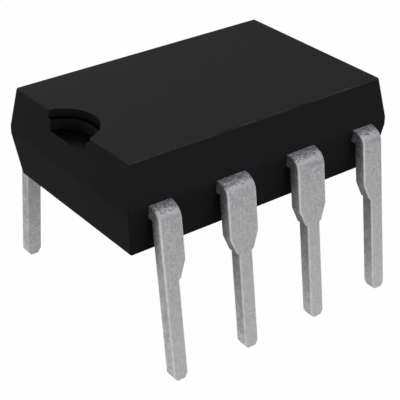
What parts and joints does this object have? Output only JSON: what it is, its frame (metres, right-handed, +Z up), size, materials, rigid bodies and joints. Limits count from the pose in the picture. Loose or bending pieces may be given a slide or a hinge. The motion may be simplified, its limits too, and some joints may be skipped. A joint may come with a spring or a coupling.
{
  "type": "dip integrated circuit chip",
  "caption": "Through-hole dual in-line chip: a black moulded body with an index notch and two rows of splayed tinned leads.",
  "frame": {"origin": "middle of the outline in plan, at the height of the lead tips, on which the part stands", "axes": "+X along the body, away from the index notch; +Y across the body, toward leads 5 to 8; +Z up, from the lead tips to the top face"},
  "size_m": [0.0094, 0.0086, 0.0065],
  "materials": {
    "epoxy": "fine matt moulded epoxy",
    "tinned_lead": "matt tin plating on copper alloy strip",
    "lead_frame_copper": "bare copper alloy strip",
    "die_adhesive": "silver-filled adhesive",
    "silicon": "polished silicon",
    "gold_wire": "drawn gold wire"
  },
  "bodies": {
    "root": {"body": "epoxy", "lead_1": "tinned_lead", "lead_2": "tinned_lead", "lead_3": "tinned_lead", "lead_4": "tinned_lead", "lead_5": "tinned_lead", "lead_6": "tinned_lead", "lead_7": "tinned_lead", "lead_8": "tinned_lead", "die_pad": "lead_frame_copper", "die_attach": "die_adhesive", "die": "silicon", "bond_wire_1": "gold_wire", "bond_wire_2": "gold_wire", "bond_wire_3": "gold_wire", "bond_wire_4": "gold_wire", "bond_wire_5": "gold_wire", "bond_wire_6": "gold_wire", "bond_wire_7": "gold_wire", "bond_wire_8": "gold_wire"}
  },
  "joints": []
}
